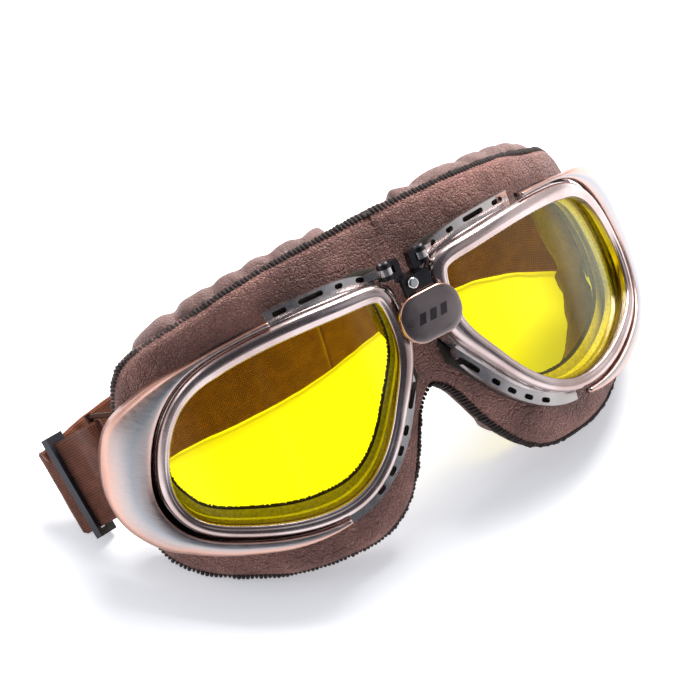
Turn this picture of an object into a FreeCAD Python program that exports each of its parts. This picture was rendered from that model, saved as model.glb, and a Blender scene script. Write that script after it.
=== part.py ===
import FreeCAD, Part
import math
import os
import Sketcher

from FreeCAD import Base

# Motorcycle goggles, millimetres.
# The goggles are drawn in their own upright frame: X to the wearer's left eye side, Y back towards
# the face, Z up, with the bridge at the middle. Every sub-part is then leaned back about X and
# lifted, so that the finished part stands on its cheeks and on its strap sliders at Z = 0.

doc = FreeCAD.newDocument("MotorcycleGoggles")
sheet = doc.addObject("Spreadsheet::Sheet", "Sizes")

SIZES = [
    ("LeanAngle", 37.0),
    ("LiftHeight", 68.9),
    ("ForwardShift", 27.9),
    ("WrapAngle", 18.0),
    ("CurveRadius", 88.0),
    ("CurveCentre", 48.0),
    ("RimWidth", 5.2),
    ("RimDepth", 4.0),
    ("RimRound", 1.3),
    ("LensThickness", 2.2),
    ("GasketThickness", 2.6),
    ("WallThickness", 1.5),
    ("WallDepth", 11.5),
    ("FlangeWidth", 3.5),
    ("FlangeDepth", 6.0),
    ("FlangeThickness", 1.4),
    ("CoverThickness", 2.0),
    ("CoverSkirt", 5.0),
    ("TrimThickness", 1.4),
    ("SlotHeight", 1.5),
    ("LeatherThickness", 1.9),
    ("PaddingDepth", 11.5),
    ("NoseHalfWidth", 4.4),
    ("FoldGap", 1.6),
    ("PivotX", 6.0),
    ("PivotY", 13.0),
    ("PinRadius", 1.0),
    ("PinClearance", 0.06),
    ("EarRadius", 2.1),
    ("EarThickness", 1.2),
    ("LugThickness", 2.0),
    ("LugZ", 14.2),
    ("BracketWidth", 9.2),
    ("BracketThickness", 1.5),
    ("BracketFrontY", 8.7),
    ("PlateWidth", 20.0),
    ("PlateHeight", 14.2),
    ("PlateThickness", 2.1),
    ("PlateFrontY", 6.5),
    ("PlateRound", 0.7),
    ("ScrewRadius", 1.7),
    ("ScrewHeight", 1.2),
    ("StrapWidth", 27.0),
    ("StrapThickness", 1.4),
    ("BarPlateWidth", 10.0),
    ("BarPlateHeight", 34.0),
    ("BarPlateThickness", 1.5),
    ("BarSlotWidth", 3.6),
    ("BarSlotHeight", 28.0),
    ("SliderLength", 32.0),
    ("SliderBar", 2.2),
    ("SliderThickness", 1.6),
    ("SliderWindow", 3.8),
]

for row, (alias, value) in enumerate(SIZES, start=1):
    sheet.set("A%d" % row, alias)
    sheet.set("B%d" % row, str(value))
    sheet.setAlias("B%d" % row, alias)
doc.recompute()


def size(alias):
    return float(sheet.get(alias))


UP = Base.Vector(0, 0, 1)
BACK = Base.Vector(0, 1, 0)
ALONG = Base.Vector(1, 0, 0)
LEAN = FreeCAD.Placement(
    Base.Vector(0, -size("ForwardShift"), size("LiftHeight")),
    FreeCAD.Rotation(ALONG, -size("LeanAngle")),
)
SIDES = {"left": -1, "right": 1}
RADIUS = size("CurveRadius")
CENTRE = size("CurveCentre")

# Outline of a lens rim, right eye, seen square on: X out from the bridge, Z up.
RIM_POINTS = [
    (11.6, 11.8),
    (22.0, 14.6),
    (40.0, 15.4),
    (58.0, 14.3),
    (73.0, 10.0),
    (83.5, 0.5),
    (89.0, -10.5),
    (90.6, -21.0),
    (87.0, -30.5),
    (74.0, -38.0),
    (53.0, -43.0),
    (39.0, -41.8),
    (27.0, -34.2),
    (17.0, -21.0),
    (10.2, -9.0),
    (9.0, 3.0),
]

# Outline of the leather mask's sewn edge, same view.
SEAM_POINTS = [
    (2.0, 29.0),
    (13.0, 30.2),
    (34.0, 29.4),
    (58.0, 26.0),
    (76.0, 21.2),
    (88.0, 16.0),
    (93.0, 6.0),
    (95.0, -8.0),
    (96.2, -21.0),
    (97.0, -33.0),
    (93.2, -43.3),
    (80.0, -51.5),
    (62.0, -56.4),
    (44.0, -57.2),
    (32.0, -54.8),
    (24.0, -48.2),
    (17.0, -37.0),
    (9.0, -23.5),
    (1.0, -19.5),
]

# Outer and inner outlines of the padded cushion behind the mask.
CUSHION_POINTS = [
    (4.0, 28.0),
    (20.0, 30.6),
    (40.0, 30.2),
    (60.0, 27.4),
    (76.0, 22.6),
    (85.5, 15.0),
    (89.5, 3.0),
    (89.5, -15.0),
    (87.5, -28.0),
    (81.0, -39.5),
    (68.0, -49.5),
    (50.0, -54.5),
    (36.0, -53.5),
    (26.0, -46.5),
    (17.0, -33.0),
    (10.0, -20.0),
    (5.0, -4.0),
]
EYE_POINTS = [
    (15.0, 8.5),
    (30.0, 10.5),
    (50.0, 10.0),
    (66.0, 7.5),
    (78.0, -2.0),
    (84.5, -11.0),
    (86.0, -20.5),
    (82.5, -28.0),
    (71.0, -34.5),
    (54.0, -39.0),
    (41.0, -38.0),
    (30.5, -31.5),
    (21.0, -19.0),
    (14.5, -7.0),
]

# Width of the side cover from its outer edge to the rim's edge, at shares of the way from its
# upper tip to its lower tip.
COVER_EDGE = [
    (0.0, 1.9),
    (0.12, 1.8),
    (0.21, 3.1),
    (0.31, 8.5),
    (0.385, 13.4),
    (0.47, 14.1),
    (0.55, 13.2),
    (0.61, 9.8),
    (0.66, 6.6),
    (0.75, 5.0),
    (0.88, 3.8),
    (1.0, 1.9),
]


# ---------------------------------------------------------------- curves and curved plates

class Outline:
    """A closed smooth curve through the points, with points at any signed distance outside it."""

    def __init__(self, points):
        self.curve = Part.BSplineCurve()
        vectors = [Base.Vector(x, 0, z) for x, z in points]
        self.curve.interpolate(Points=vectors, PeriodicFlag=True)
        self.start = self.curve.FirstParameter
        self.span = self.curve.LastParameter - self.start
        middle = self.curve.value(self.start + 0.5 * self.span)
        self.sign = 1
        edge = self.curve.toShape()
        inside = Part.Face(Part.Wire([edge])).CenterOfMass
        away = self.curve.value(self.start) - inside
        if self.normal(0).dot(away) < 0:
            self.sign = -1
        self.middle = middle

    def point(self, share, offset=0.0):
        share = share % 1.0
        position = self.curve.value(self.start + share * self.span)
        return position + self.normal(share) * offset

    def normal(self, share):
        share = share % 1.0
        tangent = self.curve.tangent(self.start + share * self.span)[0]
        outward = Base.Vector(-tangent.z, 0, tangent.x)
        outward.normalize()
        return outward * self.sign

    def share_near(self, x, z):
        target = Base.Vector(x, 0, z)
        steps = range(400)
        return min(steps, key=lambda k: (self.point(k / 400.0) - target).Length) / 400.0

    def wire(self, offset=0.0, count=44):
        if offset == 0.0:
            return Part.Wire([self.curve.toShape()])
        curve = Part.BSplineCurve()
        points = [self.point(k / count, offset) for k in range(count)]
        curve.interpolate(Points=points, PeriodicFlag=True)
        return Part.Wire([curve.toShape()])

    def face(self, outer=0.0, inner=None):
        plate = Part.Face(self.wire(outer))
        if inner is None:
            return plate
        return plate.cut(Part.Face(self.wire(inner)))

    def band(self, first, last, inner, outer, count=26):
        """A strip from share first to share last, between two offsets given as functions of 0..1."""
        near = []
        far = []
        for k in range(count + 1):
            way = k / count
            share = first + (last - first) * way
            near.append(self.point(share, inner(way)))
            far.append(self.point(share, outer(way)))
        edges = []
        for points in (near, far):
            curve = Part.BSplineCurve()
            curve.interpolate(Points=points)
            edges.append(curve.toShape())
        edges.append(Part.LineSegment(near[0], far[0]).toShape())
        edges.append(Part.LineSegment(near[-1], far[-1]).toShape())
        return Part.Face(Part.Wire(Part.__sortEdges__(edges)))


def shell(front, back, low=-70.0, high=50.0):
    """The curved layer between two depths behind the front of the rim."""
    axis = Base.Vector(CENTRE, RADIUS, low)
    outer = Part.makeCylinder(RADIUS - front, high - low, axis, UP)
    inner = Part.makeCylinder(RADIUS - back, high - low, axis, UP)
    return outer.cut(inner)


def curved(face, front, back):
    """A flat outline pressed through the curved layer, front half only."""
    prism = face.copy()
    prism.translate(Base.Vector(0, -20, 0))
    prism = prism.extrude(Base.Vector(0, 20 + RADIUS - 2, 0))
    solid = prism.common(shell(front, back))
    return solid.Solids[0] if len(solid.Solids) == 1 else solid


def rounded(shape, edges, radius):
    """Rounds the edges, with a smaller radius where the first one can't be made."""
    for factor in (1.0, 0.6, 0.35):
        try:
            result = shape.makeFillet(radius * factor, edges)
        except Part.OCCError:
            continue
        if result.isValid() and result.Volume > 0.5 * shape.Volume:
            return result
    return shape


def on_radius(shape, radius, long_enough=12.0):
    """The long edges that lie at this distance from the curve's axis."""
    found = []
    for edge in shape.Edges:
        if edge.Length < long_enough:
            continue
        distances = []
        for share in (0.2, 0.5, 0.8):
            span = edge.LastParameter - edge.FirstParameter
            point = edge.valueAt(edge.FirstParameter + share * span)
            distances.append(math.hypot(point.x - CENTRE, point.y - RADIUS))
        if all(abs(d - radius) < 0.02 for d in distances):
            found.append(edge)
    return found


rim_outline = Outline(RIM_POINTS)
seam_outline = Outline(SEAM_POINTS)
cushion_outline = Outline(CUSHION_POINTS)
eye_outline = Outline(EYE_POINTS)
TIP_TOP = rim_outline.share_near(46.0, 15.3)
TIP_BOTTOM = rim_outline.share_near(45.0, -42.8)


# ---------------------------------------------------------------- placing

def eye_placement(side):
    wrap = FreeCAD.Placement(Base.Vector(), FreeCAD.Rotation(UP, size("WrapAngle") * side))
    return LEAN.multiply(wrap)


def add_part(label, shape, placement):
    """A sub-part whose shape is made in code, at its placement."""
    item = doc.addObject("Part::Feature", label)
    item.Label = label
    item.Shape = shape
    item.Placement = placement
    NODES.append(item)
    return item


def both_eyes(name, shape):
    """The right eye's piece, and its mirror image on the left eye."""
    mirrored = shape.mirror(Base.Vector(), ALONG)
    add_part("right_" + name, shape, eye_placement(1))
    add_part("left_" + name, mirrored, eye_placement(-1))


NODES = []


# ---------------------------------------------------------------- eye frames

def make_rim():
    ring = curved(rim_outline.face(0.0, -size("RimWidth")), 0.0, size("RimDepth"))
    return rounded(ring, on_radius(ring, RADIUS), size("RimRound"))


def make_lens():
    front = size("RimDepth") + 0.05
    return curved(rim_outline.face(-1.9), front, front + size("LensThickness"))


def make_gasket():
    front = size("RimDepth") + size("LensThickness") + 0.1
    return curved(rim_outline.face(-1.9, -4.2), front, front + size("GasketThickness"))


TOP_SLOTS = [(17.4, 2.4), (23.6, 2.4), (32.2, 7.6), (41.6, 4.4)]
NOSE_SLOTS = [(16.4, -20.0, 7.6), (22.0, -28.0, 3.0), (25.4, -32.4, 3.0), (29.4, -36.4, 3.0),
              (34.0, -39.5, 3.0)]


def slot_cutter(x, z, length):
    """A rounded slot through the flange of the vent frame, along the rim beside (x, z)."""
    share = rim_outline.share_near(x, z)
    height = size("SlotHeight")
    centre = rim_outline.point(share, 0.55 * size("FlangeWidth"))
    out = rim_outline.normal(share)
    along = Base.Vector(-out.z, 0, out.x)
    half = 0.5 * (length - height)
    front = FreeCAD.Vector(0, flange_front(centre.x) - 4.0, 0)
    corners = []
    for s, t in ((-half, -0.5), (half, -0.5), (half, 0.5), (-half, 0.5)):
        corners.append(centre + along * s + out * (t * height) + front)
    body = Part.Face(Part.makePolygon(corners + corners[:1])).extrude(BACK * 9.5)
    for s in (-half, half):
        end = Part.makeCylinder(0.5 * height, 9.5, centre + along * s + front, BACK)
        body = body.fuse(end)
    return body


def flange_front(x):
    depth = size("FlangeDepth")
    return RADIUS - math.sqrt((RADIUS - depth) ** 2 - (x - CENTRE) ** 2)


def make_flange(first, last, widths):
    """A ledge round part of the rim, for the air slots."""
    face = rim_outline.band(first, last, lambda way: -0.4, widths, 30)
    front = size("FlangeDepth")
    return curved(face, front, front + size("FlangeThickness"))


def make_vent_frame():
    depth = size("RimDepth") + 0.05
    frame = curved(rim_outline.face(0.0, -size("WallThickness")), depth, size("WallDepth"))
    wide = size("FlangeWidth")
    top_corner = rim_outline.share_near(13.2, 12.5)
    nose_corner = rim_outline.share_near(13.0, -14.6)
    frame = frame.fuse([
        make_flange(TIP_TOP, top_corner - 1.0 if top_corner > TIP_TOP else top_corner,
                    lambda way: wide * math.sqrt(1.002 - way ** 8)),
        make_flange(nose_corner, TIP_BOTTOM,
                    lambda way: wide * math.sqrt(1.002 - (1 - way) ** 8)),
    ])
    pivot = eye_placement_inverse(size("PivotX"), size("PivotY"))
    low = size("LugZ")
    high = low + size("LugThickness")
    room = Part.makeCylinder(
        size("EarRadius") + 0.9, high - low + 4.2, Base.Vector(pivot.x, pivot.y, low - 2.1)
    )
    frame = frame.cut(room)
    lug = Part.makeCylinder(
        size("EarRadius"), high - low, Base.Vector(pivot.x, pivot.y, low)
    )
    tab = Part.makeBox(
        17.0 - pivot.x, 1.2, high - low, Base.Vector(pivot.x, pivot.y + 0.9, low)
    )
    frame = frame.fuse(lug.fuse(tab))
    hole = Part.makeCylinder(
        size("PinRadius") + size("PinClearance"),
        high - low + 4,
        Base.Vector(pivot.x, pivot.y, low - 2),
    )
    frame = frame.cut(hole)
    for x, length in TOP_SLOTS:
        frame = frame.cut(slot_cutter(x, 15.0, length))
    for x, z, length in NOSE_SLOTS:
        frame = frame.cut(slot_cutter(x, z, length))
    return frame.removeSplitter()


def eye_placement_inverse(x, y):
    """A point of the goggles' own frame, seen from the right eye's frame."""
    angle = math.radians(size("WrapAngle"))
    return Base.Vector(
        x * math.cos(angle) + y * math.sin(angle), y * math.cos(angle) - x * math.sin(angle), 0
    )


def cover_inner(way):
    """The black channel is widest at the lower outer corner."""
    corner = math.exp(-(((way - 0.57) / 0.09) ** 2))
    return 0.6 + 0.7 * math.sin(math.pi * way) + 1.6 * corner


def cover_outer(way):
    """Smoothly through COVER_EDGE."""
    rows = COVER_EDGE
    k = max(i for i in range(len(rows) - 1) if rows[i][0] <= max(way, 0.0))
    start, end = rows[k], rows[k + 1]
    before = rows[max(k - 1, 0)]
    after = rows[min(k + 2, len(rows) - 1)]
    run = end[0] - start[0]
    slope_in = (end[1] - before[1]) / (end[0] - before[0])
    slope_out = (after[1] - start[1]) / (after[0] - start[0])
    t = (way - start[0]) / run
    return (
        start[1] * (1 + 2 * t) * (1 - t) ** 2
        + end[1] * t * t * (3 - 2 * t)
        + run * slope_in * t * (1 - t) ** 2
        - run * slope_out * t * t * (1 - t)
    )


def make_side_cover():
    face = rim_outline.band(TIP_TOP, TIP_BOTTOM, cover_inner, cover_outer, 34)
    plate = curved(face, 0.2, 0.2 + size("CoverThickness"))
    skirt = curved(cover_skirt_face(), 1.0, 0.2 + size("CoverSkirt"))
    cover = plate.fuse(skirt).removeSplitter()
    return cover


def cover_skirt_face():
    """The turned-back outer edge of the cover, left off near the thin tips."""
    first, last = 0.24, 0.84
    span = TIP_BOTTOM - TIP_TOP
    return rim_outline.band(
        TIP_TOP + first * span,
        TIP_TOP + last * span,
        lambda way: cover_outer(first + (last - first) * way) - 1.5,
        lambda way: cover_outer(first + (last - first) * way) - 0.02,
        30,
    )


def make_channel_trim():
    first, last = 0.03, 0.97
    span = TIP_BOTTOM - TIP_TOP
    face = rim_outline.band(
        TIP_TOP + first * span,
        TIP_TOP + last * span,
        lambda way: 0.12,
        lambda way: cover_inner(first + (last - first) * way) + 0.6,
        30,
    )
    return curved(face, 5.4, 5.4 + size("TrimThickness"))


def trimmed_at_nose(shape, start_x):
    """Keeps what lies beyond this X of the goggles' frame, right side."""
    box = Part.makeBox(200, 260, 200, Base.Vector(start_x, -60, -100))
    turn = FreeCAD.Placement(Base.Vector(), FreeCAD.Rotation(UP, -size("WrapAngle")))
    box.Placement = turn
    return shape.common(box)


def make_leather():
    front = size("WallDepth") + 0.1
    face = seam_outline.face()
    opening = Part.Face(rim_outline.wire(-size("WallThickness")))
    sheet_face = face.cut(opening)
    panel = curved(sheet_face, front, front + size("LeatherThickness"))
    return trimmed_at_nose(panel, size("NoseHalfWidth") + size("FoldGap"))


def make_cushion():
    front = size("WallDepth") + size("LeatherThickness") + 0.3
    face = cushion_outline.face()
    face = face.cut(Part.Face(eye_outline.wire()))
    cushion = curved(face, front, front + size("PaddingDepth"))
    return trimmed_at_nose(cushion, 2 * size("NoseHalfWidth") + 2 * size("FoldGap"))


both_eyes("rim", make_rim())
both_eyes("lens", make_lens())
both_eyes("gasket", make_gasket())
both_eyes("vent_frame", make_vent_frame())
both_eyes("side_cover", make_side_cover())
both_eyes("channel_trim", make_channel_trim())
both_eyes("cushion", make_cushion())



# ---------------------------------------------------------------- bridge

def bound(item, **cells):
    """Binds the item's sizes to spreadsheet formulas."""
    for name, formula in cells.items():
        item.setExpression(name, formula)
    return item


def box(name, x, y, z, **cells):
    item = doc.addObject("Part::Box", name)
    item.Placement = FreeCAD.Placement(Base.Vector(x, y, z), FreeCAD.Rotation())
    return bound(item, **cells)


def cylinder(name, x, y, z, direction=UP, **cells):
    item = doc.addObject("Part::Cylinder", name)
    turn = FreeCAD.Rotation(UP, direction)
    item.Placement = FreeCAD.Placement(Base.Vector(x, y, z), turn)
    return bound(item, **cells)


def joined(label, items):
    item = doc.addObject("Part::MultiFuse", label)
    item.Shapes = items
    return item


def less(label, base, tool):
    item = doc.addObject("Part::Cut", label)
    item.Base = base
    item.Tool = tool
    return item


def finished(item, label, placement):
    """Names a finished sub-part and leans it back with the rest."""
    item.Label = label
    item.Placement = placement
    NODES.append(item)
    return item


PIVOT_X = size("PivotX")
PIVOT_Y = size("PivotY")
EAR = size("EarThickness")
FRONT_Y = size("BracketFrontY")
LUG = size("LugThickness")


def make_bracket():
    """A pressed plate behind the cover, with a shelf at its top and a pair of ears each side."""
    half = size("BracketWidth") / 2
    pieces = [
        box("BracketPlate", -half, FRONT_Y, -7.4,
            Length="Sizes.BracketWidth", Width="Sizes.BracketThickness", Height="19.4"),
        box("BracketShelf", -3.8, FRONT_Y, 10.8, Length="7.6", Width="5.8", Height="1.2"),
    ]
    holes = []
    low = size("LugZ") - 0.1 - EAR
    high = size("LugZ") + LUG + 0.1
    for side in (-1, 1):
        x = side * PIVOT_X
        inner = 1.9 if side > 0 else -3.7
        pieces.append(box("BracketColumn", inner, PIVOT_Y - 1.5, 10.8,
                          Length="1.8", Width="3", Height="%g" % (high + EAR - 10.8)))
        for z in (low, high):
            pieces.append(box("BracketArm", 1.9 if side > 0 else -PIVOT_X, PIVOT_Y - 1.5, z,
                              Length="Sizes.PivotX - 1.9", Width="3",
                              Height="Sizes.EarThickness"))
            pieces.append(cylinder("BracketEar", x, PIVOT_Y, z,
                                   Radius="Sizes.EarRadius", Height="Sizes.EarThickness"))
        holes.append(cylinder("BracketHole", x, PIVOT_Y, low - 1,
                              Radius="Sizes.PinRadius", Height="%g" % (high - low + EAR + 2)))
    solid = joined("BracketSolid", pieces)
    drill = joined("BracketDrill", holes)
    return finished(less("BracketCut", solid, drill), "bridge_bracket", LEAN)


def make_pins():
    """A headed pin through each pair of ears."""
    low = size("LugZ") - 0.1 - EAR
    for name, side in SIDES.items():
        shank = cylinder("PinShank", side * PIVOT_X, PIVOT_Y, low, Radius="Sizes.PinRadius",
                         Height="2 * Sizes.EarThickness + Sizes.LugThickness + 0.2")
        cap = cylinder("PinHead", side * PIVOT_X, PIVOT_Y, low + 2 * EAR + LUG + 0.2,
                       Radius="Sizes.PinRadius * 1.55", Height="0.6")
        pin = joined("Pin", [shank, cap])
        finished(pin, name + "_hinge_pin", LEAN)


def plane_of(body, role):
    for feature in body.Origin.OriginFeatures:
        if feature.Role == role:
            return feature
    raise ValueError(role)


def make_cover_plate():
    """The rounded plate on the front of the bridge: a sketch of four arcs, padded and rounded."""
    body = doc.addObject("PartDesign::Body", "CoverPlate")
    sketch = body.newObject("Sketcher::SketchObject", "CoverOutline")
    sketch.AttachmentSupport = [(plane_of(body, "XZ_Plane"), "")]
    sketch.MapMode = "FlatFace"
    half_w = size("PlateWidth") / 2
    half_h = size("PlateHeight") / 2
    corner_x = 0.72 * half_w
    right = Base.Vector(half_w, 0, 0)
    left = Base.Vector(-half_w, 0, 0)
    top = Base.Vector(0, half_h, 0)
    bottom = Base.Vector(0, -half_h, 0)
    corners = [Base.Vector(corner_x * a, 0.9 * half_h * b, 0)
               for a, b in ((1, 1), (-1, 1), (-1, -1), (1, -1))]
    middles = [top, left, bottom, right]
    for k in range(4):
        arc = Part.Arc(corners[k], middles[k], corners[(k + 1) % 4])
        sketch.addGeometry(arc, False)
    for k in range(4):
        sketch.addConstraint(Sketcher.Constraint("Coincident", k, end_of(sketch, k, k + 1, corners),
                                                 (k + 1) % 4,
                                                 end_of(sketch, (k + 1) % 4, k + 1, corners)))
    pad = body.newObject("PartDesign::Pad", "CoverPad")
    pad.Profile = sketch
    bound(pad, Length="Sizes.PlateThickness")
    pad.Reversed = False
    doc.recompute()
    front = min(pad.Shape.Faces, key=lambda face: face.CenterOfMass.y)
    names = []
    for number, edge in enumerate(pad.Shape.Edges, start=1):
        if any(edge.isSame(other) for other in front.Edges):
            names.append("Edge%d" % number)
    rounding = body.newObject("PartDesign::Fillet", "CoverRound")
    rounding.Base = (pad, names)
    bound(rounding, Radius="Sizes.PlateRound")
    back_y = size("PlateFrontY") + size("PlateThickness")
    shift = max(vertex.Y for vertex in pad.Shape.Vertexes)
    place = FreeCAD.Placement(Base.Vector(0, back_y - shift, 0), FreeCAD.Rotation())
    finished(body, "bridge_cover", LEAN.multiply(place))


def end_of(sketch, index, corner, corners):
    """Which end of the sketch's arc is at this corner: 1 for its start, 2 for its end."""
    arc = sketch.Geometry[index]
    corner = corners[corner % 4]
    if (arc.StartPoint - corner).Length < 1e-6:
        return 1
    return 2


def make_screw():
    """The domed screw head above the cover plate."""
    head = cylinder("ScrewHead", -1.6, FRONT_Y, 9.9, Base.Vector(0, -1, 0),
                    Radius="Sizes.ScrewRadius", Height="Sizes.ScrewHeight")
    doc.recompute()
    domed = doc.addObject("Part::Fillet", "ScrewDomed")
    domed.Base = head
    rims = [number for number, edge in enumerate(head.Shape.Edges, start=1)
            if edge.CenterOfMass.y < FRONT_Y - 1 and edge.Length > 2]
    domed.Edges = [(number, 0.7, 0.7) for number in rims]
    finished(domed, "bridge_screw", LEAN)


def make_nose_leather():
    """The middle of the mask, above the nose, between the two eyes' panels."""
    half = size("NoseHalfWidth")
    points = [(-half, -21.4), (0, -19.6), (half, -21.4), (half, 29.4), (-half, 29.4)]
    corners = [Base.Vector(x, 25.0, z) for x, z in points]
    lower = Part.Arc(corners[0], corners[1], corners[2]).toShape()
    edges = [lower]
    for start, end in ((2, 3), (3, 4), (4, 0)):
        edges.append(Part.LineSegment(corners[start], corners[end]).toShape())
    face = Part.Face(Part.Wire(edges))
    panel = face.extrude(Base.Vector(0, size("LeatherThickness"), 0))
    add_part("nose_leather", panel, LEAN)


def make_nose_cushion():
    half = 2 * size("NoseHalfWidth")
    block = box("NoseCushion", -half, 27.2, 1.0,
                Length="4 * Sizes.NoseHalfWidth", Width="Sizes.PaddingDepth - 1", Height="24")
    doc.recompute()
    soft = doc.addObject("Part::Fillet", "NoseCushionRound")
    soft.Base = block
    soft.Edges = [(number, 2.5, 2.5) for number in range(1, 13)]
    finished(soft, "nose_cushion", LEAN)


make_bracket()
make_pins()
make_cover_plate()
make_screw()
make_nose_leather()
make_nose_cushion()


# ---------------------------------------------------------------- straps

# The short straight stretch of strap beside each eye: its middle under the slider, the way it runs,
# and the way its width points, all for the right side in the goggles' own frame.
SLIDER_AT = Base.Vector(91.0, 75.0, -14.8)
RUN = Base.Vector(0.453, 0.856, -0.252)
WIDTH = Base.Vector(0.045, 0.257, 0.965)
RUN.normalize()
OUT = RUN.cross(WIDTH)
OUT.normalize()
WIDTH = OUT.cross(RUN)
WIDTH.normalize()
BAR_AT = -17.5
BAR_OUT = 1.0
CLOSE_AT = -7.5
FOLD_AT = 2.0
FOLD_RADIUS = 1.7
FOLD_TURN = math.radians(110)
STRAP_CLEARANCE = 0.9


def strap_placement(side):
    """Takes x along the run and z across the width; y points out on the left, in on the right."""
    columns = (RUN, OUT * -1, WIDTH, SLIDER_AT)
    if side < 0:
        columns = [Base.Vector(-v.x, v.y, v.z) for v in (RUN, OUT, WIDTH, SLIDER_AT)]
    a, b, c, d = columns
    matrix = FreeCAD.Matrix(
        a.x, b.x, c.x, d.x, a.y, b.y, c.y, d.y, a.z, b.z, c.z, d.z, 0, 0, 0, 1
    )
    return LEAN.multiply(FreeCAD.Placement(matrix))


def polygon_face(points):
    corners = [Base.Vector(x, y, 0) for x, y in points]
    return Part.Face(Part.makePolygon(corners + corners[:1]))


def make_side_strap():
    """Webbing through the frame's bar and back: two layers that close up towards the slider.

    The outer layer goes on through the slider and folds over towards the inside.
    """
    thick = size("StrapThickness")
    outer = polygon_face([
        (BAR_AT, BAR_OUT + 1.3),
        (CLOSE_AT, 0.12),
        (FOLD_AT, 0.12),
        (FOLD_AT, 0.12 + thick),
        (CLOSE_AT, 0.12 + thick),
        (BAR_AT, BAR_OUT + 1.3 + thick),
    ])
    inner = polygon_face([
        (BAR_AT, BAR_OUT - 1.3),
        (CLOSE_AT, -0.12),
        (1.6, -0.12),
        (1.6, -0.12 - thick),
        (CLOSE_AT, -0.12 - thick),
        (BAR_AT, BAR_OUT - 1.3 - thick),
    ])
    bar = Base.Vector(BAR_AT, BAR_OUT, 0)
    loop = ring_face(bar, 1.3, 1.3 + thick)
    loop = loop.cut(polygon_face([(BAR_AT, -9), (BAR_AT + 9, -9), (BAR_AT + 9, 9), (BAR_AT, 9)]))
    middle = 0.12 + thick / 2
    turn_at = Base.Vector(FOLD_AT, middle - FOLD_RADIUS, 0)
    fold = ring_face(turn_at, FOLD_RADIUS - thick / 2, FOLD_RADIUS + thick / 2)
    far = Base.Vector(math.sin(FOLD_TURN), math.cos(FOLD_TURN), 0) * 9
    beyond = Base.Vector(math.sin(FOLD_TURN / 2), math.cos(FOLD_TURN / 2), 0) * 12
    wedge = [turn_at, turn_at + Base.Vector(0, 9, 0), turn_at + beyond, turn_at + far]
    fold = fold.common(polygon_face([(v.x, v.y) for v in wedge]))
    across = Base.Vector(0, 0, size("StrapWidth"))
    strap = outer.extrude(across)
    strap = strap.fuse([face.extrude(across) for face in (inner, loop, fold)])
    strap.translate(across * -0.5)
    return strap.removeSplitter()


def ring_face(centre, small, large):
    outer = Part.Face(Part.Wire(Part.makeCircle(large, centre)))
    return outer.cut(Part.Face(Part.Wire(Part.makeCircle(small, centre))))


def turned_for(side, shape):
    """The shape is drawn with y outward, as on the left."""
    if side < 0:
        return shape
    return shape.mirror(Base.Vector(), BACK)


def arm_ends():
    """Where each arm of the strap bar starts and ends, upper and lower, in the strap's own frame."""
    half = size("StrapWidth") / 2
    depth = 9.9
    ends = []
    for z in (-half - 1.9, half + 1.9):
        tip = Base.Vector(BAR_AT, BAR_OUT, z)
        roots = []
        for k in range(200):
            share = TIP_TOP + (TIP_BOTTOM - TIP_TOP) * k / 200
            root = rim_outline.point(share, 0.8)
            root.y = RADIUS - math.sqrt((RADIUS - depth) ** 2 - (root.x - CENTRE) ** 2)
            root.x = -root.x
            roots.append(EYE_TO_STRAP.multVec(root))
        ends.append((min(roots, key=lambda v: abs(v.z - z) + (v - tip).Length), tip))
    return ends


def make_strap_bars():
    """A steel rod for the strap on two arms from the edge of the vent frame."""
    half = size("StrapWidth") / 2 + 2.6
    shape = Part.makeCylinder(1.15, 2 * half, Base.Vector(BAR_AT, BAR_OUT, -half), UP)
    for root, tip in arm_ends():
        arm = Part.makeCylinder(0.75, (root - tip).Length, root, tip - root)
        shape = shape.fuse(arm)
    return shape.removeSplitter()


def opened_for_strap(panel):
    """The leather is cut back where the strap and the arms of its bar go behind the eye frame."""
    wide = size("StrapWidth") + 2.4
    room = Part.makeBox(9.5, 7.2, wide, Base.Vector(BAR_AT - 3.4, BAR_OUT - 3.6, -wide / 2))
    cutters = [room]
    for root, tip in arm_ends():
        cutters.append(Part.makeCylinder(1.2, (root - tip).Length, root, tip - root))
    for cutter in cutters:
        cutter.Placement = EYE_TO_STRAP.inverse().multiply(cutter.Placement)
        panel = panel.cut(cutter.mirror(Base.Vector(), ALONG))
    return panel


def make_slider(side, name):
    """A plastic loop round both layers: two long bars joined at their ends."""
    half = size("SliderLength") / 2
    thick = size("SliderWindow") / 2 + size("SliderThickness")
    outer = box("SliderOuter", -size("SliderBar") / 2, -thick, -half,
                Length="Sizes.SliderBar", Width="Sizes.SliderWindow + 2 * Sizes.SliderThickness",
                Height="Sizes.SliderLength")
    inner = box("SliderInner", -size("SliderBar"), -size("SliderWindow") / 2,
                -size("StrapWidth") / 2 - 0.4,
                Length="2 * Sizes.SliderBar", Width="Sizes.SliderWindow",
                Height="Sizes.StrapWidth + 0.8")
    loop = less("SliderLoop", outer, inner)
    doc.recompute()
    finished(loop, name + "_slider", strap_placement(side))


EYE_TO_STRAP = strap_placement(-1).inverse().multiply(eye_placement(-1))

both_eyes("leather", opened_for_strap(make_leather()))
side_strap = make_side_strap()
strap_bar = make_strap_bars()
for side_name, side in SIDES.items():
    add_part(side_name + "_side_strap", turned_for(side, side_strap), strap_placement(side))
    add_part(side_name + "_strap_bar", turned_for(side, strap_bar), strap_placement(side))
    make_slider(side, side_name)

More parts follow.
